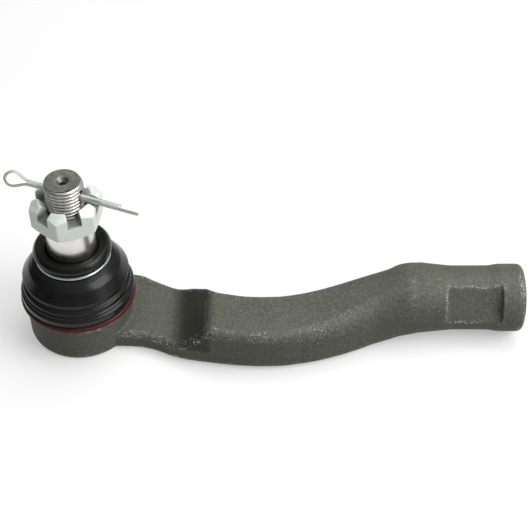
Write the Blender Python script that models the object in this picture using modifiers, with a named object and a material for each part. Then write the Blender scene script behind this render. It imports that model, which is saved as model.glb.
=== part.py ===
"""Outer tie rod end: forged arm with a threaded socket, a ball stud in its housing, boot, castle nut and pin.

The stud axis is +Z through the origin, and the housing's lower face is z = 0. The arm runs towards +X.
"""

import math

import bmesh
import bpy
from mathutils import Euler, Matrix, Vector

MM = 0.001
TURN_STEPS = 36
GAP = 0.3

# Housing and ball joint, millimetres.
BALL_Z = 17.5
BALL_R = 12.5
SEAT_R = BALL_R + GAP
BORE_R = 16.2
SEAT_OUTER_R = BORE_R - GAP
HOUSING_R = 20.5
HOUSING_TOP = 26.5
SHOULDER_Z = 16.3
COLLAR_R = 19.0
LIP_R = 14.0
LIP_TOP = 0.8
COVER_TOP = 3.0

# Stud.
STUD_TOP = 74.5
THREAD_R = 6.9
THREAD_END = 57.0
TAPER_TOP = 55.3
TAPER_TOP_R = 8.75
TAPER_LOW = 41.0
TAPER_LOW_R = 9.65
NECK_R = 6.5
PIN_HOLE_R = 2.15

# Castle nut.
NUT_LOW = 56.0
NUT_TOP = 67.0
NUT_FLATS = 24.0
NUT_BORE_R = 7.3
NUT_RIM_R = 9.5
SLOT_WIDTH = 5.0
SLOT_FLOOR = 61.8
SLOT_AZIMUTH = 22.0

# Cotter pin, which slopes down towards its legs.
PIN_Z = 68.9
PIN_AZIMUTH = 75.5
PIN_SLOPE = 7.0
PIN_ROLL = 45.0
PIN_WIRE_R = 0.62
PIN_LEG_OFFSET = 0.67
PIN_LONG_LEG = 28.4
PIN_SHORT_LEG = 21.5

# Arm and threaded socket.
SOCKET_Z = 13.9
SHANK_R = 12.5
COLLAR_START = 164.5
END_X = 173.2
END_R = 13.2
FLATS_ACROSS = 21.0
FLAT_RISE = 30.0
FLAT_START = 143.2
FLAT_END = 164.0
SOCKET_BORE_R = 8.25
SOCKET_MOUTH_R = 9.6
SOCKET_DEPTH = 44.0


def clear_scene():
    for obj in list(bpy.data.objects):
        bpy.data.objects.remove(obj, do_unlink=True)


def new_collection(name):
    collection = bpy.data.collections.new(name)
    bpy.context.scene.collection.children.link(collection)
    return collection


def new_material(name, colour, roughness, metallic):
    material = bpy.data.materials.new(name)
    material.use_nodes = True
    shader = material.node_tree.nodes["Principled BSDF"]
    shader.inputs["Base Color"].default_value = (*colour, 1.0)
    shader.inputs["Roughness"].default_value = roughness
    shader.inputs["Metallic"].default_value = metallic
    material.diffuse_color = (*colour, 1.0)
    return material


def shade(mesh):
    for polygon in mesh.polygons:
        polygon.use_smooth = True
    mesh.set_sharp_from_angle(angle=math.radians(32))


def add_object(name, mesh, collection, material=None):
    obj = bpy.data.objects.new(name, mesh)
    collection.objects.link(obj)
    if material:
        mesh.materials.append(material)
    return obj


def as_cutter(obj):
    obj.hide_render = True
    obj.display_type = "WIRE"
    return obj


def face_outwards(mesh):
    shape = bmesh.new()
    shape.from_mesh(mesh)
    bmesh.ops.recalc_face_normals(shape, faces=shape.faces)
    shape.to_mesh(mesh)
    shape.free()


def baked(obj):
    """Replace the object's data by its evaluated mesh."""
    bpy.context.view_layer.update()
    graph = bpy.context.evaluated_depsgraph_get()
    mesh = bpy.data.meshes.new_from_object(obj.evaluated_get(graph))
    mesh.name = obj.name
    obj.modifiers.clear()
    obj.data = mesh
    face_outwards(mesh)
    shade(mesh)
    return obj


def turned(name, profile, collection, material=None, closed=True):
    """Turn a profile of (radius, height) in millimetres about the object's own Z axis."""
    mesh = bpy.data.meshes.new(name)
    points = [(radius * MM, 0.0, height * MM) for radius, height in profile]
    edges = [(i, i + 1) for i in range(len(points) - 1)]
    if closed:
        edges.append((len(points) - 1, 0))
    mesh.from_pydata(points, edges, [])
    obj = add_object(name, mesh, collection, material)
    screw = obj.modifiers.new("turn", "SCREW")
    screw.axis = "Z"
    screw.steps = TURN_STEPS
    screw.render_steps = TURN_STEPS
    screw.use_merge_vertices = True
    screw.merge_threshold = 0.00001
    screw.use_normal_calculate = True
    return baked(obj)


def arc(centre_r, centre_z, radius, start, end, count):
    """Points on a circle in the profile plane, from one angle to another in degrees."""
    angles = [math.radians(start + (end - start) * i / (count - 1)) for i in range(count)]
    return [(centre_r + radius * math.cos(a), centre_z + radius * math.sin(a)) for a in angles]


def ring_profile(centre_r, centre_z, radius, count=10):
    return arc(centre_r, centre_z, radius, 90, 90 - 360 * (count - 1) / count, count)


def box(name, size, centre, collection):
    mesh = bpy.data.meshes.new(name)
    shape = bmesh.new()
    bmesh.ops.create_cube(shape, size=1.0)
    bmesh.ops.scale(shape, vec=Vector(size) * MM, verts=shape.verts)
    bmesh.ops.translate(shape, vec=Vector(centre) * MM, verts=shape.verts)
    shape.to_mesh(mesh)
    shape.free()
    return add_object(name, mesh, collection)


def prism(name, sides, radius, length, collection, turn=0.0):
    """A prism centred on the origin along Z, with a corner at the given angle in degrees."""
    mesh = bpy.data.meshes.new(name)
    shape = bmesh.new()
    bmesh.ops.create_cone(
        shape,
        cap_ends=True,
        segments=sides,
        radius1=radius * MM,
        radius2=radius * MM,
        depth=length * MM,
        matrix=Matrix.Rotation(math.radians(turn - 90), 4, "Z"),
    )
    shape.to_mesh(mesh)
    shape.free()
    return add_object(name, mesh, collection)


def boolean(obj, other, operation):
    modifier = obj.modifiers.new(other.name, "BOOLEAN")
    modifier.operation = operation
    modifier.solver = "EXACT"
    modifier.object = other


def azimuth_turn(azimuth):
    """Rotation about Z, in degrees, that takes +X to a direction measured from -Y towards +X."""
    return azimuth - 90.0


def hex_radius(flats):
    return flats / 2 / math.cos(math.radians(30))


def rounded_section(low, high, bottom, top, upper_corner, lower_corner):
    """Closed outline (y, z) of a rounded rectangle, with the same number of points for any size."""
    steps = 8
    limit = 0.49 * min(high - low, top - bottom)
    upper = min(upper_corner, limit)
    lower = min(lower_corner, limit)
    corners = [
        (high - upper, top - upper, upper, 0),
        (low + upper, top - upper, upper, 90),
        (low + lower, bottom + lower, lower, 180),
        (high - lower, bottom + lower, lower, 270),
    ]
    outline = []
    for y, z, corner, start in corners:
        outline += arc(y, z, corner, start, start + 90, steps)
    return outline


def arm_sections():
    """Stations: x, near side, far side, lower face, upper face, and upper and lower corner radius."""
    web = [
        (4.0, -13.5, 17.4, 0.5, 8.4, 2.0, 2.0),
        (14.0, -14.5, 18.4, 0.3, 8.4, 2.0, 2.0),
        (19.0, -14.6, 19.2, 0.2, 8.4, 2.0, 2.0),
        (23.5, -14.9, 18.3, 0.1, 8.4, 2.2, 2.2),
        (27.5, -15.8, 16.0, 0.0, 8.4, 2.4, 2.4),
        (31.7, -17.4, 13.9, 0.0, 8.4, 2.6, 2.6),
        (36.0, -19.6, 11.8, 0.0, 8.5, 2.8, 2.8),
        (39.5, -20.9, 10.5, 0.0, 9.3, 3.0, 3.0),
        (42.5, -21.8, 9.2, 0.0, 11.0, 3.0, 3.0),
        (45.5, -22.3, 7.0, 0.0, 13.4, 3.0, 3.0),
        (48.0, -22.8, 4.4, 0.0, 16.0, 3.0, 3.0),
        (50.0, -23.1, 2.4, 0.0, 18.0, 3.1, 3.1),
        (54.0, -23.9, -0.2, 0.0, 18.9, 3.3, 3.3),
    ]
    arm = [
        (59.0, -24.7, -1.2, 0.0, 18.9, 3.5, 3.5),
        (65.0, -25.3, -2.1, 0.0, 18.8, 3.6, 3.6),
        (71.0, -25.6, -2.3, 0.0, 18.7, 3.6, 3.6),
        (78.0, -25.4, -2.1, 0.0, 18.7, 3.6, 3.6),
        (86.0, -24.3, -0.5, 0.0, 18.8, 4.2, 3.6),
        (94.0, -22.6, 2.0, 0.0, 19.2, 5.2, 3.8),
        (102.0, -20.1, 5.2, 0.0, 19.9, 6.6, 4.0),
        (110.0, -17.2, 8.3, 0.0, 21.2, 8.2, 4.8),
        (116.0, -15.1, 10.1, 0.0, 22.8, 9.6, 6.0),
        (121.0, -14.5, 11.1, 0.0, 24.7, 10.8, 8.5),
        (126.0, -14.2, 12.9, 0.0, 26.5, 11.9, 11.5),
        (130.0, -14.0, 13.3, 0.1, 27.4, 12.6, 12.6),
    ]
    shank = [
        (133.5, 13.7),
        (137.0, 13.35),
        (141.0, 12.95),
        (143.5, 12.7),
        (146.0, SHANK_R),
        (159.5, SHANK_R + 0.05),
        (162.5, 12.95),
        (COLLAR_START, END_R),
        (END_X - 2.0, END_R),
        (END_X - 0.7, END_R - 0.5),
        (END_X, END_R - 1.6),
    ]
    round_part = [(x, -r, r, SOCKET_Z - r, SOCKET_Z + r, r, r) for x, r in shank]
    return web + arm + round_part


def make_arm(collection, material):
    """Loft the forged arm from its stations."""
    vertices = []
    faces = []
    count = 0
    for x, *limits in arm_sections():
        outline = rounded_section(*limits)
        count = len(outline)
        vertices += [(x * MM, y * MM, z * MM) for y, z in outline]
    rows = len(vertices) // count
    for row in range(rows - 1):
        for i in range(count):
            j = (i + 1) % count
            a = row * count
            b = a + count
            faces.append((a + i, a + j, b + j, b + i))
    faces.append(tuple(reversed(range(count))))
    faces.append(tuple(range((rows - 1) * count, rows * count)))
    mesh = bpy.data.meshes.new("tie_rod_body")
    mesh.from_pydata(vertices, [], faces)
    face_outwards(mesh)
    shade(mesh)
    return add_object("tie_rod_body", mesh, collection, material)


def housing_outline():
    return [
        (13.4, HOUSING_TOP),
        (18.4, HOUSING_TOP),
        (COLLAR_R, HOUSING_TOP - 0.6),
        (COLLAR_R, SHOULDER_Z),
        (HOUSING_R - 0.5, SHOULDER_Z),
        (HOUSING_R, SHOULDER_Z - 0.5),
        (HOUSING_R - 0.1, 2.0),
        (HOUSING_R - 0.5, 0.8),
        (HOUSING_R - 1.4, 0.0),
        (LIP_R, 0.0),
        (LIP_R, LIP_TOP),
        (BORE_R, LIP_TOP),
        (BORE_R, 22.6),
        (12.7, 24.3),
    ]


def housing_bore():
    """Everything inside the housing that the arm's root would otherwise fill."""
    return [
        (0.0, HOUSING_TOP + 1.0),
        (13.4, HOUSING_TOP + 1.0),
        (13.4, HOUSING_TOP),
        (12.7, 24.3),
        (BORE_R, 22.6),
        (BORE_R, LIP_TOP),
        (LIP_R, LIP_TOP),
        (LIP_R, -1.0),
        (0.0, -1.0),
    ]


def wrench_cutter(side, cutters):
    """The material in front of one wrench flat. Side 0 faces up and to the front, side 1 is opposite."""
    depth = 6.0
    size = (FLAT_END - FLAT_START, 30.0, depth)
    cutter = box(f"wrench_flat_{side}", size, (0.0, 0.0, FLATS_ACROSS / 2 + depth / 2), cutters)
    cutter.location = Vector(((FLAT_START + FLAT_END) / 2, 0.0, SOCKET_Z)) * MM
    cutter.rotation_euler = Euler((math.radians(90.0 - FLAT_RISE + 180.0 * side), 0.0, 0.0))
    return as_cutter(cutter)


def make_body(collection, cutters, material):
    body = make_arm(collection, material)
    housing = as_cutter(turned("housing_shell", housing_outline(), cutters))
    bore = as_cutter(turned("housing_bore", housing_bore(), cutters, closed=False))
    depth = SOCKET_DEPTH
    socket_outline = [
        (0.0, 1.0),
        (SOCKET_MOUTH_R + 1.0, 1.0),
        (SOCKET_MOUTH_R, 0.0),
        (SOCKET_BORE_R, -1.4),
        (SOCKET_BORE_R, -depth),
        (0.0, -depth - 4.5),
    ]
    socket = as_cutter(turned("socket_bore", socket_outline, cutters, closed=False))
    socket.location = Vector((END_X, 0.0, SOCKET_Z)) * MM
    socket.rotation_euler = Euler((0.0, math.radians(90), 0.0))
    boolean(body, bore, "DIFFERENCE")
    boolean(body, housing, "UNION")
    for side in range(2):
        boolean(body, wrench_cutter(side, cutters), "DIFFERENCE")
    boolean(body, socket, "DIFFERENCE")
    return body


def stud_outline():
    ball_top = math.degrees(math.acos(NECK_R / BALL_R))
    flat_angle = -64.0
    ball = arc(0.0, BALL_Z, BALL_R, ball_top, flat_angle, 15)
    return [
        (0.0, 70.4),
        (1.1, 71.0),
        (1.1, 72.9),
        (2.2, STUD_TOP),
        (THREAD_R - 0.5, STUD_TOP),
        (THREAD_R, STUD_TOP - 0.5),
        (THREAD_R, THREAD_END),
        (THREAD_R - 0.7, THREAD_END - 0.7),
        (THREAD_R - 0.7, TAPER_TOP),
        (TAPER_TOP_R - 0.5, TAPER_TOP),
        (TAPER_TOP_R, TAPER_TOP - 0.5),
        (TAPER_LOW_R, TAPER_LOW),
        (TAPER_LOW_R - 0.6, TAPER_LOW - 1.2),
        (NECK_R + 0.6, 36.4),
        (NECK_R, 34.6),
        *ball,
        (0.0, ball[-1][1]),
    ]


def make_stud(collection, cutters, material):
    stud = turned("ball_stud", stud_outline(), collection, material, closed=False)
    hole = as_cutter(prism("pin_hole", 24, PIN_HOLE_R, 20.0, cutters))
    hole.location = (0.0, 0.0, PIN_Z * MM)
    hole.rotation_euler = Euler((0.0, math.radians(90), math.radians(azimuth_turn(PIN_AZIMUTH))))
    boolean(stud, hole, "DIFFERENCE")
    return stud


def make_seats(collection, material):
    upper_low = BALL_Z + 0.4
    upper_top = 23.7
    start = math.degrees(math.asin((upper_top - BALL_Z) / SEAT_R))
    end = math.degrees(math.asin((upper_low - BALL_Z) / SEAT_R))
    inner = list(reversed(arc(0.0, BALL_Z, SEAT_R, start, end, 6)))
    upper = [
        (12.5, upper_top),
        (SEAT_OUTER_R, 22.2),
        (SEAT_OUTER_R, upper_low),
        *inner,
    ]
    turned("upper_ball_seat", upper, collection, material)
    lower_top = BALL_Z
    lower_low = 5.3
    hole_angle = -66.0
    inner = list(reversed(arc(0.0, BALL_Z, SEAT_R, 0.0, hole_angle, 12)))
    lower = [
        (SEAT_OUTER_R, lower_top),
        (SEAT_OUTER_R, lower_low + 1.0),
        (SEAT_OUTER_R - 1.0, lower_low),
        (inner[0][0], lower_low),
        *inner,
    ]
    turned("lower_ball_seat", lower, collection, material)


def make_base_parts(collection, steel, rubber, spring_steel):
    cover = [
        (0.0, COVER_TOP - 1.0),
        (10.9, COVER_TOP - 1.0),
        (12.2, COVER_TOP),
        (SEAT_OUTER_R, COVER_TOP),
        (SEAT_OUTER_R, LIP_TOP + GAP),
        (12.9, LIP_TOP + GAP),
        (11.5, 0.0),
        (0.0, 0.0),
    ]
    turned("end_cover", cover, collection, steel, closed=False)
    seal = ring_profile(15.0, COVER_TOP + GAP + 0.8, 0.8)
    turned("cover_seal_ring", seal, collection, rubber)
    spring = [
        (6.0, 4.9),
        (7.0, 4.9),
        (13.6, 3.9),
        (13.6, 3.3),
        (12.8, 3.3),
        (6.0, 4.3),
    ]
    turned("preload_spring", spring, collection, spring_steel)


def boot_outline():
    outer = [
        (13.0, 43.8),
        (13.8, 43.4),
        (14.8, 41.9),
        (15.0, 41.0),
        (14.6, 40.0),
        (13.6, 39.3),
        (12.7, 38.8),
        (12.6, 37.3),
        (13.6, 36.9),
        (15.6, 35.8),
        (17.6, 33.9),
        (19.0, 31.7),
        (19.9, 30.3),
        (20.2, 29.5),
        (19.5, 28.5),
        (19.4, 27.6),
        (20.6, 26.0),
        (20.8, 25.4),
        (20.5, 24.8),
        (21.2, 23.8),
        (20.9, 23.1),
        (21.8, 22.3),
        (21.8, 20.2),
        (21.1, 19.7),
        (20.0, 19.2),
        (20.0, 17.3),
        (20.6, 16.7),
    ]
    inner = [
        (COLLAR_R + GAP, 16.7),
        (COLLAR_R + GAP, 26.6),
        (18.2, 28.4),
        (17.7, 29.9),
        (16.6, 31.8),
        (14.8, 33.8),
        (12.4, 35.4),
        (10.6, 36.1),
        (TAPER_LOW_R + GAP, 37.0),
        (TAPER_LOW_R + GAP, 42.1),
        (TAPER_LOW_R + 0.7, 42.5),
    ]
    return outer + inner


def make_boot(collection, rubber, red, wire):
    turned("dust_boot", boot_outline(), collection, rubber)
    turned("boot_base_ring", ring_profile(21.3, 18.15, 1.05), collection, red)
    turned("boot_neck_ring", ring_profile(13.65, 38.05, 0.75), collection, wire)


def make_nut(collection, cutters, material):
    height = NUT_TOP - NUT_LOW
    corner_turn = azimuth_turn(SLOT_AZIMUTH) + 30.0
    nut = prism("castle_nut", 6, hex_radius(NUT_FLATS), height, collection, corner_turn)
    nut.data.materials.append(material)
    nut.location = (0.0, 0.0, (NUT_LOW + height / 2) * MM)
    half = height / 2
    envelope = [
        (0.0, half),
        (9.9, half),
        (15.0, half - 3.0),
        (15.0, 1.0 - half),
        (12.0, -half),
        (0.0, -half),
    ]
    bore = [
        (0.0, half + 1.0),
        (NUT_RIM_R + 0.6, half + 1.0),
        (NUT_RIM_R, half),
        (NUT_BORE_R, half - 2.4),
        (NUT_BORE_R, 0.8 - half),
        (NUT_BORE_R + 1.7, -half),
        (NUT_BORE_R + 1.7, -half - 1.0),
        (0.0, -half - 1.0),
    ]
    shapes = [
        (as_cutter(turned("nut_envelope", envelope, cutters, closed=False)), "INTERSECT"),
        (as_cutter(turned("nut_bore", bore, cutters, closed=False)), "DIFFERENCE"),
    ]
    for i in range(3):
        depth = 12.0
        slot = box(f"nut_slot_{i}", (40.0, SLOT_WIDTH, depth), (0.0, 0.0, 0.0), cutters)
        slot.location = (0.0, 0.0, (SLOT_FLOOR + depth / 2) * MM)
        slot.rotation_euler = Euler((0.0, 0.0, math.radians(azimuth_turn(SLOT_AZIMUTH + 60 * i))))
        shapes.append((as_cutter(slot), "DIFFERENCE"))
    for shape, operation in shapes:
        if not shape.name.startswith("nut_slot"):
            shape.location = nut.location
        boolean(nut, shape, operation)
    return nut


def pin_path():
    """Centre line of the pin's wire in its own frame: X along the legs, Z across them."""
    eye = [
        (-13.4, PIN_LEG_OFFSET + 0.05),
        (-14.8, 1.05),
        (-16.2, 1.6),
        (-17.8, 2.25),
        (-19.4, 2.6),
        (-20.9, 2.4),
        (-21.9, 1.6),
        (-22.6, 0.4),
    ]
    back = [(x, -z) for x, z in reversed(eye)]
    upper = [(PIN_SHORT_LEG, PIN_LEG_OFFSET + 0.1), (10.0, PIN_LEG_OFFSET)]
    lower = [(10.0, -PIN_LEG_OFFSET), (PIN_LONG_LEG, -PIN_LEG_OFFSET - 0.1)]
    return upper + eye + back + lower


def make_pin(collection, material):
    curve = bpy.data.curves.new("cotter_pin", "CURVE")
    curve.dimensions = "3D"
    curve.bevel_depth = PIN_WIRE_R * MM
    curve.bevel_resolution = 3
    curve.use_fill_caps = True
    spline = curve.splines.new("POLY")
    path = pin_path()
    spline.points.add(len(path) - 1)
    for point, (x, z) in zip(spline.points, path):
        point.co = (x * MM, 0.0, z * MM, 1.0)
    curve.materials.append(material)
    pin = bpy.data.objects.new("cotter_pin", curve)
    collection.objects.link(pin)
    heading = Matrix.Rotation(math.radians(azimuth_turn(PIN_AZIMUTH)), 4, "Z")
    slope = Matrix.Rotation(math.radians(PIN_SLOPE), 4, "Y")
    roll = Matrix.Rotation(math.radians(-PIN_ROLL), 4, "X")
    pin.matrix_world = Matrix.Translation((0.0, 0.0, PIN_Z * MM)) @ heading @ slope @ roll
    return pin


def main():
    clear_scene()
    parts = new_collection("tie_rod_end")
    cutters = new_collection("cutters")
    forging = new_material("forging", (0.085, 0.090, 0.070), 0.62, 0.7)
    bright_steel = new_material("bright_steel", (0.62, 0.61, 0.58), 0.22, 1.0)
    zinc = new_material("zinc_plate", (0.66, 0.70, 0.66), 0.35, 0.9)
    pin_zinc = new_material("pin_zinc", (0.45, 0.48, 0.43), 0.42, 0.9)
    rubber = new_material("boot_rubber", (0.012, 0.014, 0.014), 0.45, 0.0)
    seal_rubber = new_material("seal_rubber", (0.02, 0.02, 0.02), 0.6, 0.0)
    red = new_material("red_ring", (0.22, 0.025, 0.022), 0.5, 0.0)
    wire = new_material("ring_wire", (0.55, 0.56, 0.56), 0.3, 1.0)
    resin = new_material("seat_resin", (0.75, 0.72, 0.62), 0.5, 0.0)
    plate = new_material("cover_plate", (0.25, 0.25, 0.23), 0.5, 0.9)
    spring = new_material("spring_steel", (0.30, 0.31, 0.33), 0.4, 1.0)
    make_body(parts, cutters, forging)
    make_stud(parts, cutters, bright_steel)
    make_seats(parts, resin)
    make_base_parts(parts, plate, seal_rubber, spring)
    make_boot(parts, rubber, red, wire)
    make_nut(parts, cutters, zinc)
    make_pin(parts, pin_zinc)


main()
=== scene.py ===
import math

import bmesh
import bpy
import numpy as np
from mathutils import Matrix, Vector


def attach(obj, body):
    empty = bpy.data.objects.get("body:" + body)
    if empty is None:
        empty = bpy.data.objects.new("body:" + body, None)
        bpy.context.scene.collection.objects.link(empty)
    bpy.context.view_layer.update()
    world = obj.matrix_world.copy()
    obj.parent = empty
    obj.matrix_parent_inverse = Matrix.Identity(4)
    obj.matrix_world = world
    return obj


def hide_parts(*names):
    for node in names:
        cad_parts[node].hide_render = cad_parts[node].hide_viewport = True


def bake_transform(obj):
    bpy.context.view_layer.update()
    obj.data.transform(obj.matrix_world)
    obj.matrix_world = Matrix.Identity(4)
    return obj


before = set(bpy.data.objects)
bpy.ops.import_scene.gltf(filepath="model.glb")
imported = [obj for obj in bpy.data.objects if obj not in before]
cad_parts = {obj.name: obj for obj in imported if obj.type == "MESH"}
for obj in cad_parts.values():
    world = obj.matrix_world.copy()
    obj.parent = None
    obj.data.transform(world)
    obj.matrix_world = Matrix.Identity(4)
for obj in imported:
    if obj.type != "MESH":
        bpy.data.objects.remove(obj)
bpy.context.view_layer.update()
MM = 0.001

# Levels and radii in millimetres, in the frame's axes: the stud is on +Z, the arm runs along +X.
BALL_Z = 17.5
BALL_R = 12.5
BALL_CUT = -64.0
STUD_NECK_R = 6.5
STUD_TOP = 74.5
THREAD_R = 7.0
THREAD_ROOT_R = 6.1
THREAD_DEPTH = 0.88
THREAD_PITCH = 1.5
THREAD_END = 57.2
TIP_R = 6.45
NEAR_AXIS = 0.15
PIN_Z = 68.9
PIN_HOLE_R = 2.15
PIN_AZIMUTH = 75.5
PIN_SLOPE = 7.0
PIN_ROLL = 45.0
NUT_LOW = 56.0
NUT_TOP = 67.0
NUT_FLATS = 24.0
SLOT_AZIMUTH = 22.0
SLOT_WIDTH = 5.0
SLOT_FLOOR = 61.8
SOCKET_Z = 13.9
SOCKET_DEPTH = 44.0
SOCKET_PITCH = 1.5
SOCKET_CREST_R = 8.15
SOCKET_THREAD_DEPTH = 0.85
DRILL_R = 8.1
SHANK_R = 12.5
COLLAR_START = 164.5
END_X = 173.2
END_R = 13.2
END_ROUND = 2.0
FLATS_ACROSS = 21.0
FLAT_RISE = 30.0
FLAT_START = 143.2
FLAT_END = 164.0
STEP_START = 34.0
STEP_FULL = 43.0
STEP_END = 53.0
WEB_TOP = 6.5
SHOULDER_Z = 16.3
# Radius and height where the two halves of the boot meet, outside and inside.
SEAM = (19.2, 28.2)
SEAM_INNER = (18.35, 28.2)


# ---------------------------------------------------------------- mesh helpers

def new_object(name, verts, faces, smooth=True):
    mesh = bpy.data.meshes.new(name)
    mesh.from_pydata((np.asarray(verts, float) * MM).tolist(), [], [list(f) for f in faces])
    if smooth:
        mesh.polygons.foreach_set("use_smooth", np.ones(len(mesh.polygons), bool))
    obj = bpy.data.objects.new(name, mesh)
    bpy.context.scene.collection.objects.link(obj)
    return obj


def face_outwards(obj):
    shape = bmesh.new()
    shape.from_mesh(obj.data)
    bmesh.ops.recalc_face_normals(shape, faces=shape.faces)
    shape.to_mesh(obj.data)
    shape.free()
    return obj


def grid_faces(rows, cols, wrap_rows):
    faces = []
    for i in range(rows if wrap_rows else rows - 1):
        a = i * cols
        b = ((i + 1) % rows) * cols
        for j in range(cols):
            k = (j + 1) % cols
            faces.append((a + j, a + k, b + k, b + j))
    return faces


def tube(name, rings, closed=False):
    """A skin over rings of points. An open one gets a flat cap at each end."""
    rings = np.asarray(rings, float)
    rows, cols = rings.shape[:2]
    faces = grid_faces(rows, cols, closed)
    if not closed:
        faces.append(tuple(reversed(range(cols))))
        faces.append(tuple(range((rows - 1) * cols, rows * cols)))
    return face_outwards(new_object(name, rings.reshape(-1, 3), faces))


def refine(profile, step, corners=0.35):
    """Points along a profile: each corner is rounded a little, and no step is longer than the given one."""
    points = [np.array(p, float) for p in profile]
    rounded = [points[0]]
    for before, here, after in zip(points, points[1:], points[2:]):
        a = before - here
        b = after - here
        la = np.linalg.norm(a)
        lb = np.linalg.norm(b)
        reach = min(corners, 0.45 * la, 0.45 * lb)
        p0 = here + a / la * reach
        p2 = here + b / lb * reach
        for t in (0.0, 0.25, 0.5, 0.75, 1.0):
            rounded.append((1 - t) ** 2 * p0 + 2 * t * (1 - t) * here + t * t * p2)
    rounded.append(points[-1])
    out = [rounded[0]]
    for p in rounded[1:]:
        gap = np.linalg.norm(p - out[-1])
        if gap < 1e-6:
            continue
        start = out[-1]
        count = max(1, int(math.ceil(gap / step)))
        for i in range(1, count + 1):
            out.append(start + (p - start) * i / count)
    return np.array(out)


def turned(name, profile, steps=160, closed=True):
    """A profile of (radius, height) turned about Z. An open one starts and ends near the axis, with a cap."""
    profile = np.asarray(profile, float)
    turn = np.arange(steps) * 2 * math.pi / steps
    rings = np.stack(
        [
            profile[:, :1] * np.cos(turn),
            profile[:, :1] * np.sin(turn),
            np.repeat(profile[:, 1:], steps, 1),
        ],
        -1,
    )
    return tube(name, rings, closed)


def loop_profile(profile, step, corners):
    """Like refine, for a closed profile."""
    start = (np.array(profile[0], float) + np.array(profile[-1], float)) / 2
    fine = refine([start, *profile, start], step, corners)
    return fine[:-1]


def circle_profile(radius, height, wire, count=28):
    turn = -np.arange(count) * 2 * math.pi / count
    return np.stack([radius + wire * np.cos(turn), height + wire * np.sin(turn)], -1)


def thread_height(turns):
    """Height of a 60 degree thread from 0 at the root to 1 at the crest, with small flats."""
    flat = 0.14
    phase = np.abs((turns % 1.0) * 2 - 1)
    return np.clip((phase - flat) / (1 - 2 * flat), 0, 1)


def applied(obj):
    """Replaces the object's mesh by its evaluated one."""
    bpy.context.view_layer.update()
    graph = bpy.context.evaluated_depsgraph_get()
    mesh = bpy.data.meshes.new_from_object(obj.evaluated_get(graph))
    mesh.name = obj.name
    obj.modifiers.clear()
    obj.data = mesh
    mesh.polygons.foreach_set("use_smooth", np.ones(len(mesh.polygons), bool))
    return obj


def without_slivers(obj):
    """Closes the edges of no length that a Boolean leaves along a seam."""
    shape = bmesh.new()
    shape.from_mesh(obj.data)
    bmesh.ops.dissolve_degenerate(shape, dist=0.002 * MM, edges=shape.edges)
    shape.to_mesh(obj.data)
    shape.free()
    return obj


def cut(obj, other):
    """Takes the other object away from this one, and checks that it changed something."""
    modifier = obj.modifiers.new("cut", "BOOLEAN")
    modifier.operation = "DIFFERENCE"
    modifier.solver = "MANIFOLD"
    modifier.object = other
    before = len(obj.data.vertices)
    applied(obj)
    assert len(obj.data.vertices) not in (0, before), other.name
    bpy.data.objects.remove(other)
    return without_slivers(obj)


def joined(objects):
    """One object that holds the shells of all of them."""
    shape = bmesh.new()
    for obj in objects:
        mesh = obj.data.copy()
        mesh.transform(obj.matrix_world)
        shape.from_mesh(mesh)
    first = objects[0]
    shape.to_mesh(first.data)
    shape.free()
    for obj in objects[1:]:
        bpy.data.objects.remove(obj)
    return first


def remeshed(obj, voxel, rounds):
    """Replaces the mesh by an even one and smooths it: shells melt together and edges become round."""
    modifier = obj.modifiers.new("voxels", "REMESH")
    modifier.mode = "VOXEL"
    modifier.voxel_size = voxel * MM
    applied(obj)
    modifier = obj.modifiers.new("smooth", "SMOOTH")
    modifier.iterations = rounds
    modifier.factor = 0.5
    return applied(obj)


def sharp_edges(obj, degrees):
    obj.data.set_sharp_from_angle(angle=math.radians(degrees))
    return obj


def azimuth_matrix(azimuth):
    """Turns +X to a direction that is measured from -Y towards +X."""
    return Matrix.Rotation(math.radians(azimuth - 90), 4, "Z")


def box(name, size, matrix):
    shape = bmesh.new()
    bmesh.ops.create_cube(shape, size=1.0)
    bmesh.ops.scale(shape, vec=Vector(size), verts=shape.verts)
    verts = [matrix @ v.co for v in shape.verts]
    faces = [[v.index for v in f.verts] for f in shape.faces]
    shape.free()
    return face_outwards(new_object(name, verts, faces, smooth=False))


def curvature_attribute(obj, name, spread, low, high):
    """Stores how convex the surface is at each point, from 0 to 1, for worn edges."""
    mesh = obj.data
    count = len(mesh.vertices)
    co = np.zeros(count * 3)
    mesh.vertices.foreach_get("co", co)
    co = co.reshape(-1, 3) / MM
    normal = np.zeros(count * 3, np.float32)
    mesh.vertices.foreach_get("normal", normal)
    normal = normal.reshape(-1, 3).astype(float)
    edges = np.zeros(len(mesh.edges) * 2, np.int32)
    mesh.edges.foreach_get("vertices", edges)
    edges = edges.reshape(-1, 2)
    degree = np.bincount(edges.ravel(), minlength=count).clip(1)

    def mean_of_neighbours(values):
        total = np.zeros_like(values)
        np.add.at(total, edges[:, 0], values[edges[:, 1]])
        np.add.at(total, edges[:, 1], values[edges[:, 0]])
        return total / (degree[:, None] if values.ndim > 1 else degree)

    offset = mean_of_neighbours(co) - co
    length = np.zeros(count)
    gaps = np.linalg.norm(co[edges[:, 0]] - co[edges[:, 1]], axis=1)
    np.add.at(length, edges[:, 0], gaps)
    np.add.at(length, edges[:, 1], gaps)
    length = (length / degree).clip(0.02)
    bend = -(offset * normal).sum(1) / length**2
    for _ in range(spread):
        bend = mean_of_neighbours(bend)
    amount = np.clip((bend - low) / (high - low), 0, 1)
    attribute = mesh.attributes.new(name, "FLOAT", "POINT")
    attribute.data.foreach_set("value", amount.astype(np.float32))
    return obj


def place_attribute(obj, name, amount):
    """Stores a number from 0 to 1 at each point, worked out from its place in millimetres."""
    mesh = obj.data
    co = np.zeros(len(mesh.vertices) * 3)
    mesh.vertices.foreach_get("co", co)
    values = amount(co.reshape(-1, 3) / MM)
    attribute = mesh.attributes.new(name, "FLOAT", "POINT")
    attribute.data.foreach_set("value", values.astype(np.float32))
    return obj


# ---------------------------------------------------------------- materials

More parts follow.
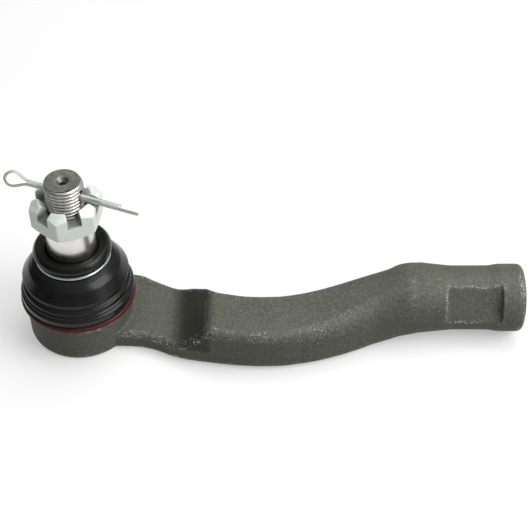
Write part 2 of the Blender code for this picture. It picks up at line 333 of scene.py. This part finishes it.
class Nodes:
    """Short names for building a material's node tree."""

    def __init__(self, name, colour, roughness, metallic=0.0, **fixed):
        self.material = bpy.data.materials.new(name)
        self.material.use_nodes = True
        self.tree = self.material.node_tree
        self.shader = self.tree.nodes["Principled BSDF"]
        self.shader.inputs["Base Color"].default_value = (*colour, 1)
        self.shader.inputs["Roughness"].default_value = roughness
        self.shader.inputs["Metallic"].default_value = metallic
        for key, value in fixed.items():
            self.shader.inputs[key.replace("_", " ")].default_value = value
        self.place = self.add("ShaderNodeTexCoord").outputs["Object"]

    def add(self, kind, **settings):
        node = self.tree.nodes.new(kind)
        for key, value in settings.items():
            setattr(node, key, value)
        return node

    def link(self, a, b):
        self.tree.links.new(a, b)

    def stretched(self, scale):
        mapping = self.add("ShaderNodeMapping")
        mapping.inputs["Scale"].default_value = scale
        self.link(self.place, mapping.inputs["Vector"])
        return mapping.outputs["Vector"]

    def noise(self, scale, detail=4.0, rough=0.55, vector=None):
        node = self.add("ShaderNodeTexNoise")
        node.inputs["Scale"].default_value = scale
        node.inputs["Detail"].default_value = detail
        node.inputs["Roughness"].default_value = rough
        self.link(vector or self.place, node.inputs["Vector"])
        return node.outputs["Fac"]

    def ramp(self, value, low, high, out_low=0.0, out_high=1.0):
        node = self.add("ShaderNodeMapRange")
        node.interpolation_type = "SMOOTHSTEP"
        node.inputs["From Min"].default_value = low
        node.inputs["From Max"].default_value = high
        node.inputs["To Min"].default_value = out_low
        node.inputs["To Max"].default_value = out_high
        self.link(value, node.inputs["Value"])
        return node.outputs["Result"]

    def math(self, operation, a, b):
        node = self.add("ShaderNodeMath", operation=operation)
        for socket, value in zip(node.inputs, (a, b)):
            if isinstance(value, (int, float)):
                socket.default_value = value
            else:
                self.link(value, socket)
        return node.outputs[0]

    def mix(self, amount, a, b):
        node = self.add("ShaderNodeMix", data_type="RGBA")
        self.link(amount, node.inputs["Factor"])
        for socket, value in ((node.inputs[6], a), (node.inputs[7], b)):
            if isinstance(value, tuple):
                socket.default_value = (*value, 1)
            else:
                self.link(value, socket)
        return node.outputs[2]

    def attribute(self, name):
        node = self.add("ShaderNodeAttribute")
        node.attribute_name = name
        return node.outputs["Fac"]

    def colour(self, value):
        self.link(value, self.shader.inputs["Base Color"])

    def roughness(self, value):
        self.link(value, self.shader.inputs["Roughness"])

    def metallic(self, value):
        self.link(value, self.shader.inputs["Metallic"])

    def bump(self, height, strength, distance):
        node = self.add("ShaderNodeBump")
        node.inputs["Strength"].default_value = strength
        node.inputs["Distance"].default_value = distance * MM
        self.link(height, node.inputs["Height"])
        if self.shader.inputs["Normal"].links:
            self.link(self.shader.inputs["Normal"].links[0].from_socket, node.inputs["Normal"])
        self.link(node.outputs["Normal"], self.shader.inputs["Normal"])


def forging_material():
    n = Nodes("forging", (0.11, 0.115, 0.09), 0.55, 0.2, Specular_IOR_Level=0.25)
    cloud = n.ramp(n.noise(55, 5, 0.6), 0.35, 0.68)
    grain = n.noise(900, 6, 0.65)
    fine = n.noise(2600, 3, 0.6)
    base = n.mix(cloud, (0.080, 0.085, 0.064), (0.104, 0.108, 0.085))
    base = n.mix(n.ramp(grain, 0.38, 0.66), base, (0.140, 0.142, 0.116))
    # Painted shade: the slope that step_shade marks is darkened towards this near-black.
    step_shade_amount = n.math("MULTIPLY", n.attribute("painted_step_shade"), n.ramp(n.noise(90, 3, 0.5), 0.2, 0.8, 0.85, 1.0))
    base = n.mix(step_shade_amount, base, (0.036, 0.037, 0.029))
    wear = n.attribute("wear")
    patch = n.ramp(n.noise(130, 4, 0.6), 0.40, 0.62)
    speck = n.ramp(n.noise(1500, 4, 0.7), 0.52, 0.64)
    worn = n.math("MULTIPLY", n.math("MULTIPLY", wear, speck), n.math("ADD", patch, 0.25))
    stray = n.math("MULTIPLY", n.ramp(n.noise(1250, 2, 0.5), 0.70, 0.76), 0.5)
    worn = n.math("MINIMUM", n.math("ADD", worn, stray), 1.0)
    n.colour(n.mix(worn, base, (0.52, 0.52, 0.48)))
    uneven = n.math("ADD", n.math("MULTIPLY", grain, 0.3), n.math("MULTIPLY", worn, -0.25))
    n.roughness(n.ramp(uneven, -0.1, 0.3, 0.38, 0.68))
    n.metallic(n.ramp(worn, 0.0, 1.0, 0.12, 0.85))
    n.bump(n.math("ADD", n.math("MULTIPLY", grain, 0.7), n.math("MULTIPLY", fine, 0.3)), 0.55, 0.12)
    return n.material


def turned_steel_material():
    n = Nodes("turned_steel", (0.62, 0.61, 0.59), 0.24, 1.0)
    rings = n.noise(60, 3, 0.6, n.stretched((0.4, 0.4, 60.0)))
    blotch = n.noise(110, 3, 0.5)
    stain_and_shade_amount = n.attribute("stain_and_groove_shade")
    base = n.mix(n.ramp(blotch, 0.3, 0.7), (0.62, 0.61, 0.58), (0.78, 0.77, 0.75))
    stain = n.mix(n.ramp(n.noise(420, 4, 0.6), 0.35, 0.65), (0.18, 0.185, 0.155), (0.29, 0.295, 0.25))
    # One dark colour for the stain on the cut end and for the painted shade in the thread's grooves.
    n.colour(n.mix(stain_and_shade_amount, base, stain))
    polish = n.ramp(n.math("ADD", rings, n.math("MULTIPLY", blotch, 0.4)), 0.4, 1.1, 0.20, 0.36)
    n.roughness(n.math("ADD", polish, n.math("MULTIPLY", stain_and_shade_amount, 0.22)))
    n.bump(rings, 0.35, 0.02)
    return n.material


def zinc_material(name, light, dark, low, high, metallic):
    n = Nodes(name, light, 0.5, metallic)
    cloud = n.noise(180, 5, 0.6)
    fine = n.noise(1800, 3, 0.6)
    wear = n.attribute("wear")
    # Painted shade: where slot_shade marks the nut, the colour is darkened towards this grey-green.
    slot_shade_amount = n.math("MULTIPLY", n.attribute("painted_slot_shade"), n.ramp(n.noise(300, 4, 0.6), 0.2, 0.7, 0.75, 1.0))
    base = n.mix(n.ramp(cloud, 0.3, 0.7), dark, light)
    base = n.mix(slot_shade_amount, base, (0.20, 0.215, 0.20))
    n.colour(n.mix(n.math("MULTIPLY", wear, 0.5), base, (0.90, 0.92, 0.90)))
    uneven = n.math("ADD", n.math("MULTIPLY", cloud, 0.6), n.math("MULTIPLY", fine, 0.4))
    n.roughness(n.ramp(uneven, 0.3, 0.7, low, high))
    n.bump(n.math("ADD", n.math("MULTIPLY", fine, 0.5), cloud), 0.25, 0.03)
    return n.material


def rubber_material(name, colour, dusty, low, high, level=0.5):
    n = Nodes(name, colour, 0.4, Specular_IOR_Level=level)
    cloud = n.noise(70, 5, 0.65)
    pores = n.noise(2200, 4, 0.6)
    dust = n.ramp(n.noise(160, 6, 0.7), 0.42, 0.78)
    n.colour(n.mix(n.math("MULTIPLY", dust, 0.55), colour, dusty))
    uneven = n.math("ADD", n.math("MULTIPLY", cloud, 0.7), n.math("MULTIPLY", pores, 0.3))
    n.roughness(n.ramp(uneven, 0.35, 0.65, low, high))
    n.bump(n.math("ADD", n.math("MULTIPLY", pores, 0.5), n.math("MULTIPLY", cloud, 0.6)), 0.3, 0.02)
    return n.material


def plain_material(name, colour, second, low, high, metallic=1.0):
    """Metal unless told otherwise: two clouded colours and an uneven polish."""
    n = Nodes(name, colour, 0.35, metallic)
    cloud = n.noise(150, 5, 0.6)
    fine = n.noise(1700, 3, 0.6)
    n.colour(n.mix(n.ramp(cloud, 0.3, 0.7), colour, second))
    n.roughness(n.ramp(n.math("ADD", cloud, n.math("MULTIPLY", fine, 0.4)), 0.5, 0.9, low, high))
    n.bump(n.math("ADD", fine, cloud), 0.25, 0.03)
    return n.material


def floor_material():
    """Pale to the eye and in reflections, but it throws little diffuse light back up at the object."""
    n = Nodes("floor", (0.9, 0.9, 0.9), 0.95, Specular_IOR_Level=0.0)
    pale = n.mix(n.noise(3, 2), (0.60, 0.60, 0.60), (0.64, 0.64, 0.64))
    path = n.add("ShaderNodeLightPath")
    seen = n.math("MAXIMUM", path.outputs["Is Camera Ray"], path.outputs["Is Glossy Ray"])
    n.colour(n.mix(seen, (0.16, 0.16, 0.16), pale))
    n.link(n.mix(seen, (0.05, 0.05, 0.05), (0.38, 0.38, 0.38)), n.shader.inputs["Emission Color"])
    n.shader.inputs["Emission Strength"].default_value = 1.0
    return n.material


# ---------------------------------------------------------------- the forging

def arm_stations():
    """Along the arm: x, near side, far side, lower face, upper face, and upper and lower corner radius."""
    flat = [
        (4.0, -13.5, 17.4, 0.5, 8.4, 2.0, 2.0),
        (14.0, -14.5, 18.4, 0.3, 8.4, 2.0, 2.0),
        (19.0, -14.6, 19.2, 0.2, 8.4, 2.0, 2.0),
        (23.5, -14.9, 18.3, 0.1, 8.4, 2.2, 2.2),
        (27.5, -15.8, 16.0, 0.0, 8.4, 2.4, 2.4),
        (31.7, -17.4, 13.9, 0.0, 8.4, 2.6, 2.6),
        (36.0, -19.6, 11.8, 0.0, 8.5, 2.8, 2.8),
        (39.5, -20.9, 10.5, 0.0, 9.3, 3.0, 3.0),
        (42.5, -21.8, 9.2, 0.0, 11.0, 3.0, 3.0),
        (45.5, -22.3, 7.0, 0.0, 13.4, 3.0, 3.0),
        (48.0, -22.8, 4.4, 0.0, 16.0, 3.0, 3.0),
        (50.0, -23.1, 2.4, 0.0, 18.0, 3.1, 3.1),
        (54.0, -23.9, -0.2, 0.0, 18.9, 3.3, 3.3),
        (59.0, -24.7, -1.2, 0.0, 18.9, 3.5, 3.5),
        (65.0, -25.3, -2.1, 0.0, 18.8, 3.6, 3.6),
        (71.0, -25.6, -2.3, 0.0, 18.7, 3.6, 3.6),
        (78.0, -25.4, -2.1, 0.0, 18.7, 3.6, 3.6),
        (86.0, -24.3, -0.5, 0.0, 18.8, 4.2, 3.6),
        (94.0, -22.6, 2.0, 0.0, 19.2, 5.2, 3.8),
        (102.0, -20.1, 5.2, 0.0, 19.9, 6.6, 4.0),
        (110.0, -17.2, 8.3, 0.0, 21.2, 8.2, 4.8),
        (116.0, -15.1, 10.1, 0.0, 22.8, 9.6, 6.0),
        (121.0, -14.5, 11.1, 0.0, 24.7, 10.8, 8.5),
        (126.0, -14.2, 12.9, 0.0, 26.5, 11.9, 11.5),
        (130.0, -14.0, 13.3, 0.1, 27.4, 12.6, 12.6),
    ]
    shank = [
        (133.5, 13.7),
        (137.0, 13.35),
        (141.0, 12.95),
        (143.5, 12.7),
        (146.0, SHANK_R),
        (159.5, SHANK_R + 0.05),
        (162.5, 12.95),
        (COLLAR_START, END_R),
        (END_X - END_ROUND, END_R),
    ]
    return flat + [(x, -r, r, SOCKET_Z - r, SOCKET_Z + r, r, r) for x, r in shank]


def smooth_rows(rows, step):
    """Cubic interpolation of a table by its first column, without overshoot."""
    table = np.array(rows, float)
    x = table[:, 0]
    h = np.diff(x)
    slope = np.diff(table[:, 1:], axis=0) / h[:, None]
    m = np.zeros((len(x), table.shape[1] - 1))
    same = slope[:-1] * slope[1:] > 0
    w1 = (2 * h[1:] + h[:-1])[:, None]
    w2 = (h[1:] + 2 * h[:-1])[:, None]
    with np.errstate(divide="ignore", invalid="ignore"):
        harmonic = (w1 + w2) / (w1 / slope[:-1] + w2 / slope[1:])
    m[1:-1] = np.where(same, harmonic, 0)
    m[0] = slope[0]
    m[-1] = slope[-1]
    places = np.unique(np.concatenate([np.arange(x[0], x[-1], step), x]))
    i = np.clip(np.searchsorted(x, places, side="right") - 1, 0, len(x) - 2)
    t = ((places - x[i]) / h[i])[:, None]
    hh = h[i][:, None]
    y = (
        (2 * t**3 - 3 * t**2 + 1) * table[i, 1:]
        + (t**3 - 2 * t**2 + t) * hh * m[i]
        + (-2 * t**3 + 3 * t**2) * table[i + 1, 1:]
        + (t**3 - t**2) * hh * m[i + 1]
    )
    return places, y


def section(low, high, bottom, top, upper, lower, steps=14):
    limit = 0.49 * min(high - low, top - bottom)
    upper = min(upper, limit)
    lower = min(lower, limit)
    points = []
    for y, z, corner, start in (
        (high - upper, top - upper, upper, 0),
        (low + upper, top - upper, upper, 90),
        (low + lower, bottom + lower, lower, 180),
        (high - lower, bottom + lower, lower, 270),
    ):
        for i in range(steps):
            a = math.radians(start + 90 * i / (steps - 1))
            points.append((y + corner * math.cos(a), z + corner * math.sin(a)))
    return points


def wrench_cutter(side):
    """What one wrench flat removes. Side 0 faces up and to the front, side 1 is opposite."""
    width, depth = 30, 6
    middle = Matrix.Translation(((FLAT_START + FLAT_END) / 2, 0, SOCKET_Z))
    turn = Matrix.Rotation(math.radians(90 - FLAT_RISE + 180 * side), 4, "X")
    outwards = Matrix.Translation((0, 0, FLATS_ACROSS / 2 + depth / 2))
    return box("wrench_flat", (FLAT_END - FLAT_START, width, depth), middle @ turn @ outwards)


def make_forging():
    places, values = smooth_rows(arm_stations(), 0.7)
    rings = [[(x, y, z) for y, z in section(*row)] for x, row in zip(places, values)]
    edge = []
    for i in range(1, 7):
        a = math.radians(15 * i)
        r = END_R - END_ROUND + END_ROUND * math.cos(a)
        x = END_X - END_ROUND + END_ROUND * math.sin(a)
        edge.append([(x, y, z) for y, z in section(-r, r, SOCKET_Z - r, SOCKET_Z + r, r, r)])
    arm = tube("forging", rings + edge)
    for side in range(2):
        cut(arm, wrench_cutter(side))
    outline = [
        (0.5, 26.5),
        (18.4, 26.5),
        (19.0, 25.9),
        (19.0, SHOULDER_Z),
        (20.0, SHOULDER_Z),
        (20.5, SHOULDER_Z - 0.5),
        (20.4, 2.0),
        (20.0, 0.8),
        (19.1, 0.0),
        (0.5, 0.0),
    ]
    housing = turned("housing", refine(outline, 1.0, 0.4), 180, closed=False)
    body = joined([arm, housing])
    voxel, rounds = ((0.38, 10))
    remeshed(body, voxel, rounds)
    bore = [
        (0.4, 27.5),
        (13.4, 27.5),
        (13.4, 26.5),
        (12.7, 24.3),
        (16.2, 22.6),
        (16.2, 0.8),
        (14.0, 0.8),
        (14.0, -1.0),
        (0.4, -1.0),
    ]
    cut(body, turned("bore", refine(bore, 3.0, 0.15), 120, closed=False))
    cut(body, socket_thread())
    curvature_attribute(body, "wear", 5, 0.025, 0.075)
    place_attribute(body, "painted_step_shade", step_shade)
    sharp_edges(body, 48)
    return body


def step_shade(p):
    """Painted shade on the concave slope between the flat part and the raised arm: the colour there is
    darkened.
    """
    start = np.clip((p[:, 0] - STEP_START) / (STEP_FULL - STEP_START), 0, 1)
    rise = start * np.clip((STEP_END - p[:, 0]) / 3.0, 0, 1)
    above = np.clip((p[:, 2] - WEB_TOP) / 2.0, 0, 1)
    return rise * rise * (3 - 2 * rise) * above


def socket_thread():
    """The solid that the female thread leaves out, from beyond the mouth to the drill point."""
    steps = 72
    turn = np.arange(steps) * 2 * math.pi / steps
    thread_end = SOCKET_DEPTH - 4
    rings = []

    def add_ring(depth, radius):
        x = np.full(steps, END_X - depth)
        rings.append(np.stack([x, radius * np.cos(turn), SOCKET_Z + radius * np.sin(turn)], -1))

    for depth, radius in ((-1.5, 10.75), (0.0, 9.75), (1.4, 8.28)):
        add_ring(depth, radius)
    for depth in np.arange(1.5, thread_end, 0.15):
        fade = min(1.0, (thread_end - depth) / 2)
        groove = 1 - thread_height(depth / SOCKET_PITCH + turn / (2 * math.pi))
        add_ring(depth, SOCKET_CREST_R + SOCKET_THREAD_DEPTH * fade * groove)
    for depth, radius in ((thread_end + 0.1, DRILL_R), (SOCKET_DEPTH, DRILL_R), (SOCKET_DEPTH + 4, 0.3)):
        add_ring(depth, radius)
    return tube("socket", rings)


# ---------------------------------------------------------------- stud, nut and pin

def make_stud():
    steps = 192
    turn = np.arange(steps) * 2 * math.pi / steps
    centre_hole = [(NEAR_AXIS, 70.6), (1.1, 71.1), (1.1, 72.9), (2.3, STUD_TOP - 0.05), (2.5, STUD_TOP)]
    top = centre_hole + [(TIP_R, STUD_TOP)]
    rows = [(r, z, False) for r, z in refine(top, 0.4, 0.1)]
    rows += [(THREAD_R, z, True) for z in np.arange(STUD_TOP, THREAD_END, -0.1)]
    taper = [(8.2, 55.4), (8.75, 54.8), (9.65, 41.0), (9.0, 39.7), (7.1, 36.4)]
    low = [(THREAD_ROOT_R, THREAD_END), (THREAD_ROOT_R, 56.2), *taper, (STUD_NECK_R, 34.6)]
    rows += [(r, z, False) for r, z in refine(low, 0.5, 0.35)]
    bottom = math.radians(BALL_CUT)
    for a in np.linspace(math.acos(STUD_NECK_R / BALL_R), bottom, 60):
        rows.append((BALL_R * math.cos(a), BALL_Z + BALL_R * math.sin(a), False))
    rows.append((NEAR_AXIS, BALL_Z + BALL_R * math.sin(bottom), False))
    rings = []
    for r, z, threaded in rows:
        radius = np.full(steps, r)
        if threaded:
            groove = 1 - thread_height(z / THREAD_PITCH + turn / (2 * math.pi))
            radius = THREAD_R - THREAD_DEPTH * groove
            # The chamfer at the tip and the run-out at the foot cut the thread away.
            tip = TIP_R + (STUD_TOP - z) * 1.0
            foot = THREAD_ROOT_R + (z - THREAD_END) * 1.2
            radius = np.minimum(np.minimum(radius, tip), foot)
            radius = np.maximum(radius, min(THREAD_ROOT_R, tip))
        rings.append(np.stack([radius * np.cos(turn), radius * np.sin(turn), np.full(steps, z)], -1))
    stud = tube("ball_stud_steel", rings)
    cut(stud, pin_hole())
    sharp_edges(stud, 40)
    place_attribute(stud, "stain_and_groove_shade", stud_stain_and_groove_shade)
    return stud


def pin_hole():
    steps, half_length = 48, 12
    along = azimuth_matrix(PIN_AZIMUTH)
    level = Vector((0, 0, PIN_Z))
    rings = []
    for x in (-half_length, half_length):
        ring = []
        for i in range(steps):
            a = 2 * math.pi * i / steps
            point = along @ Vector((x, PIN_HOLE_R * math.cos(a), PIN_HOLE_R * math.sin(a))) + level
            ring.append(list(point))
        rings.append(ring)
    return tube("pin_hole", rings)


def stud_stain_and_groove_shade(p):
    """The cut end is stained and dull; the thread's grooves get the same dark, dull colour as painted shade.
    """
    radius = np.hypot(p[:, 0], p[:, 1])
    threaded = (p[:, 2] > THREAD_END + 0.1) & (p[:, 2] < STUD_TOP - 0.6)
    # Painted shade: darker the deeper into the thread's grooves.
    grooves = np.clip((6.85 - radius) / 0.55, 0, 0.9) * threaded
    return np.maximum(grooves, (p[:, 2] > STUD_TOP - 0.12) | (radius < 2.7))


def make_nut():
    corner = NUT_FLATS / 2 / math.cos(math.radians(30))
    steps = 144
    turn = np.arange(steps) * 2 * math.pi / steps
    outline = [(8.1, NUT_LOW), (12.0, NUT_LOW), (13.2, NUT_LOW + 0.55), (14.2, NUT_LOW + 1.1)]
    outline += [(14.2, 64.35), (11.6, 66.0), (10.2, NUT_TOP), (9.5, NUT_TOP)]
    outline += [(7.35, 64.6), (7.35, 56.8)]
    profile = loop_profile(outline, 0.6, 0.15)
    centre = math.radians(SLOT_AZIMUTH - 90)
    spin = (turn - centre + math.pi / 6) % (math.pi / 3) - math.pi / 6
    limit = np.minimum(NUT_FLATS / 2 / np.cos(spin), corner - 0.12)
    rings = []
    for r, z in profile:
        radius = np.minimum(r, limit)
        rings.append(np.stack([radius * np.cos(turn), radius * np.sin(turn), np.full(steps, z)], -1))
    nut = tube("slotted_nut", rings, closed=True)
    length, height = 40, 12
    for i in range(3):
        place = Matrix.Translation((0, 0, SLOT_FLOOR + height / 2)) @ azimuth_matrix(SLOT_AZIMUTH + 60 * i)
        cut(nut, box("slot", (length, SLOT_WIDTH, height), place))
    remeshed(nut, 0.16, 4)
    curvature_attribute(nut, "wear", 3, 0.15, 0.9)
    place_attribute(nut, "painted_slot_shade", slot_shade)
    return nut


def slot_shade(p):
    """Painted shade in the nut: darker low in the slots and inside the crown."""
    deep = np.clip((66.6 - p[:, 2]) / 3.0, 0, 1)
    shade = np.clip((9.6 - np.hypot(p[:, 0], p[:, 1])) / 0.6, 0, 1) * deep
    for i in range(3):
        a = math.radians(SLOT_AZIMUTH + 60 * i - 90)
        across = np.abs(-p[:, 0] * math.sin(a) + p[:, 1] * math.cos(a))
        inside = np.clip((SLOT_WIDTH / 2 + 0.2 - across) / 0.12, 0, 1)
        above = np.clip((p[:, 2] - SLOT_FLOOR + 0.35) / 0.2, 0, 1)
        shade = np.maximum(shade, inside * above * deep)
    return shade


def pin_path():
    """Centre line of the wire: x along the legs, z across them."""
    offset = 0.56
    eye = [(-13.2, offset + 0.04), (-14.4, 0.75), (-15.8, 1.25), (-17.3, 1.95), (-18.7, 2.45), (-20.0, 2.55)]
    eye += [(-21.2, 2.2), (-22.1, 1.4), (-22.6, 0.5)]
    back = [(x, -z) for x, z in reversed(eye)]
    upper = [(21.5, offset + 0.1), (16.0, offset + 0.04), (9.0, offset), (0.0, offset), (-7.0, offset)]
    lower = [(-7.0, -offset), (0.0, -offset), (9.0, -offset), (17.0, -offset - 0.02), (28.4, -offset - 0.04)]
    return np.array(upper + eye + back + lower)


def smooth_path(path, per_step=8):
    """A Catmull-Rom curve through the points."""
    points = []
    last = len(path) - 1
    for i in range(last):
        p0, p1, p2, p3 = path[max(i - 1, 0)], path[i], path[i + 1], path[min(i + 2, last)]
        for t in np.linspace(0, 1, per_step, endpoint=False):
            curved = (2 * p0 - 5 * p1 + 4 * p2 - p3) * t**2 + (3 * p1 - p0 - 3 * p2 + p3) * t**3
            points.append(0.5 * (2 * p1 + (p2 - p0) * t + curved))
    points.append(path[last])
    return np.array(points)


def make_pin():
    points = smooth_path(pin_path())
    tangent = np.gradient(points, axis=0)
    tangent /= np.linalg.norm(tangent, axis=1)[:, None]
    # Half-round wire: the flat side faces the other leg, on the path's left.
    wire = 1.08
    half = [(wire * math.cos(a), wire * math.sin(a) - 0.46) for a in np.radians(np.linspace(0, 180, 17))]
    half += [(y, -0.5) for y in (-0.95, -0.5, 0.0, 0.5, 0.95)]
    rings = []
    for k, (p, t) in enumerate(zip(points, tangent)):
        out = np.array([t[1], -t[0]])
        # The wire is a little thinner round the eye, and each leg's end is rounded off.
        scale = 0.86 if k in (0, len(points) - 1) else 1.0
        if p[0] < -14:
            scale = 0.82
        rings.append([(p[0] + out[0] * v * scale, u * scale, p[1] + out[1] * v * scale) for u, v in half])
    pin = tube("split_pin", rings)
    slope = Matrix.Rotation(math.radians(PIN_SLOPE), 4, "Y")
    roll = Matrix.Rotation(math.radians(-PIN_ROLL), 4, "X")
    place = Matrix.Translation((0, 0, PIN_Z * MM)) @ azimuth_matrix(PIN_AZIMUTH) @ slope @ roll
    pin.data.transform(place)
    curvature_attribute(pin, "wear", 2, 0.6, 2.2)
    sharp_edges(pin, 50)
    return pin


# ---------------------------------------------------------------- boot, rings and cover

def boot_lower():
    outer = [
        SEAM,
        (19.2, 27.3),
        (19.5, 26.7),
        (20.6, 26.1),
        (20.85, 25.5),
        (20.5, 24.75),
        (20.75, 24.3),
        (21.25, 23.9),
        (21.2, 23.5),
        (20.85, 23.0),
        (21.55, 22.6),
        (21.85, 22.1),
        (21.85, 20.2),
        (21.1, 19.7),
        (20.0, 19.2),
        (19.95, 17.3),
        (20.6, 16.7),
        (19.3, 16.7),
        (19.25, 26.0),
        (18.75, 27.4),
        SEAM_INNER,
    ]
    return turned("boot_lower", refine(outer, 0.35, 0.28), 200)


def boot_upper():
    outer = [
        SEAM_INNER,
        (17.7, 30.2),
        (16.6, 31.8),
        (14.8, 33.8),
        (12.4, 35.4),
        (10.6, 36.1),
        (9.95, 37.0),
        (9.95, 42.1),
        (10.35, 42.5),
        (12.95, 43.75),
        (13.75, 43.35),
        (14.75, 41.9),
        (14.95, 41.0),
        (14.55, 40.0),
        (13.5, 39.35),
        (12.75, 38.9),
        (12.65, 37.3),
        (13.6, 36.9),
        (15.6, 35.8),
        (17.5, 34.0),
        (18.9, 31.9),
        (19.9, 30.4),
        (20.35, 29.75),
        (20.35, 29.3),
        (19.8, 28.8),
        SEAM,
    ]
    return turned("boot_upper", refine(outer, 0.35, 0.45), 200)


def make_cover():
    outline = [
        (0.3, 2.0),
        (10.9, 2.0),
        (12.2, 3.0),
        (15.9, 3.0),
        (15.9, 1.1),
        (12.9, 1.1),
        (11.5, 0.0),
        (0.3, 0.0),
    ]
    return turned("closing_plate", refine(outline, 0.8, 0.35), 160, closed=False)


# ---------------------------------------------------------------- putting it together

def give(obj, material, body, nodes):
    obj.data.materials.clear()
    obj.data.materials.append(material)
    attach(obj, body)
    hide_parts(*nodes)


def build_object():
    rubber = rubber_material("boot_rubber", (0.005, 0.006, 0.005), (0.013, 0.014, 0.012), 0.18, 0.30, 0.32)
    red = rubber_material("red_ring", (0.066, 0.008, 0.007), (0.10, 0.028, 0.025), 0.38, 0.55, 0.25)
    bright = plain_material("ring_wire", (0.58, 0.60, 0.60), (0.44, 0.46, 0.46), 0.26, 0.42)
    zinc = zinc_material("zinc_plate", (0.86, 0.92, 0.87), (0.77, 0.84, 0.79), 0.38, 0.55, 0.25)
    pin_zinc = zinc_material("pin_zinc", (0.60, 0.64, 0.57), (0.46, 0.50, 0.44), 0.34, 0.50, 0.5)
    plate = plain_material("cover_plate", (0.20, 0.20, 0.18), (0.13, 0.13, 0.12), 0.40, 0.58, 0.8)
    give(make_forging(), forging_material(), "housing", ["tie_rod_body"])
    give(make_stud(), turned_steel_material(), "stud", ["ball_stud"])
    give(make_nut(), zinc, "nut", ["castle_nut"])
    give(make_pin(), pin_zinc, "split_pin", ["cotter_pin"])
    neck = turned("boot_neck_wire", circle_profile(13.6, 38.0, 0.66), 200)
    give(neck, bright, "boot_neck", ["boot_neck_ring"])
    base = turned("boot_base_band", circle_profile(21.15, 18.1, 1.15), 200)
    give(base, red, "housing", ["boot_base_ring"])
    give(make_cover(), plate, "housing", ["end_cover"])
    lower = boot_lower()
    upper = boot_upper()
    for obj in (lower, upper):
        sharp_edges(obj, 60)
        obj.data.materials.append(rubber)
        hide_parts("dust_boot")
    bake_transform(lower)
    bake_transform(upper)
    resin = ((0.72, 0.69, 0.60), (0.66, 0.63, 0.54), 0.4, 0.55, 0.0)
    spring = ((0.32, 0.33, 0.36), (0.24, 0.25, 0.28), 0.25, 0.42)
    seal = ((0.02, 0.02, 0.02), (0.04, 0.04, 0.04), 0.45, 0.6)
    inner = {
        "upper_ball_seat": plain_material("seat_upper", *resin),
        "lower_ball_seat": plain_material("seat_lower", *resin),
        "preload_spring": plain_material("spring_steel", *spring),
        "cover_seal_ring": rubber_material("seal_rubber", *seal),
    }
    for name, material in inner.items():
        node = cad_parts[name]
        node.data.materials.clear()
        node.data.materials.append(material)


def area_light(name, location, target, size, power):
    data = bpy.data.lights.new(name, "AREA")
    data.shape = "RECTANGLE"
    data.size, data.size_y = size
    data.energy = power
    light = bpy.data.objects.new(name, data)
    light.location = location
    direction = Vector(target) - Vector(location)
    light.rotation_euler = direction.to_track_quat("-Z", "Y").to_euler()
    bpy.context.scene.collection.objects.link(light)


def build_world():
    """Brighter overhead and on the right, and pale where the camera sees it directly."""
    world = bpy.data.worlds.new("studio")
    world.use_nodes = True
    tree = world.node_tree
    background = tree.nodes["Background"]

    def spread(value, low, high, out_low, out_high):
        node = tree.nodes.new("ShaderNodeMapRange")
        node.inputs["From Min"].default_value = low
        node.inputs["From Max"].default_value = high
        node.inputs["To Min"].default_value = out_low
        node.inputs["To Max"].default_value = out_high
        tree.links.new(value, node.inputs["Value"])
        return node.outputs["Result"]

    place = tree.nodes.new("ShaderNodeTexCoord")
    split = tree.nodes.new("ShaderNodeSeparateXYZ")
    tree.links.new(place.outputs["Generated"], split.inputs["Vector"])
    both = tree.nodes.new("ShaderNodeMath")
    both.operation = "MULTIPLY"
    tree.links.new(spread(split.outputs["Z"], 0.0, 1.0, 0.12, 0.78), both.inputs[0])
    tree.links.new(spread(split.outputs["X"], -0.9, 0.6, 0.35, 1.15), both.inputs[1])
    pale = tree.nodes.new("ShaderNodeMix")
    pale.inputs[3].default_value = 0.92
    tree.links.new(tree.nodes.new("ShaderNodeLightPath").outputs["Is Camera Ray"], pale.inputs["Factor"])
    tree.links.new(both.outputs[0], pale.inputs[2])
    tree.links.new(pale.outputs[0], background.inputs["Strength"])
    background.inputs["Color"].default_value = (1.0, 1.0, 1.0, 1)
    return world


def build_studio():
    scene = bpy.context.scene
    far, level = 4000, -0.1
    corners = [(-far, -far, level), (far, -far, level), (far, far, level), (-far, far, level)]
    floor = new_object("floor", corners, [(0, 1, 2, 3)])
    floor.data.materials.append(floor_material())
    scene.world = build_world()
    middle = (0.06, 0.0, 0.02)
    area_light("key", (0.55, -0.18, 0.50), middle, (0.50, 0.50), 3.4)
    area_light("top", (0.20, 0.25, 0.85), middle, (0.6, 0.5), 2.6)
    scene.view_settings.view_transform = "Standard"
    camera_data = bpy.data.cameras.new("camera")
    camera_data.lens = 84.1
    camera_data.sensor_width = 36.0
    camera_data.clip_start = 0.01
    camera = bpy.data.objects.new("camera", camera_data)
    camera.location = (0.0731, -0.3366, 0.3679)
    camera.rotation_euler = (math.radians(45.0), 0.0, 0.0)
    scene.collection.objects.link(camera)
    scene.camera = camera


build_studio()
build_object()
